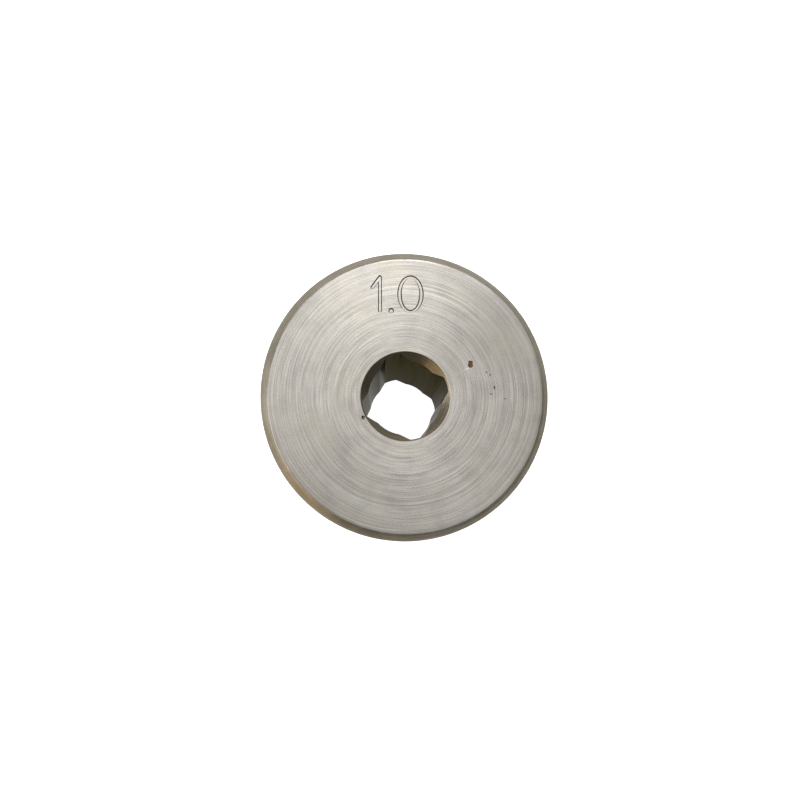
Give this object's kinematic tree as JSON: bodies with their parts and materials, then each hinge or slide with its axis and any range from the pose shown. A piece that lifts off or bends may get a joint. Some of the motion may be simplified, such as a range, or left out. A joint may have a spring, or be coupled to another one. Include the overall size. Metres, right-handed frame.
{
  "type": "feed roller",
  "caption": "Turned steel feed roller with chamfered edges, rim grooves for wire, an engraved size number and a countersunk square drive hole.",
  "frame": {"origin": "on the roller's axis, in the plane of the back face that it lies on", "axes": "+Z along the roller's axis, out of the marked front face; +X and +Y square to the flats of the drive hole; the number stands 28 degrees anticlockwise from +Y"},
  "size_m": [0.037, 0.037, 0.016],
  "materials": {
    "turned_steel": "turned on a lathe, with fine rings on the faces"
  },
  "bodies": {
    "root": {"roller": "turned_steel"}
  },
  "joints": []
}
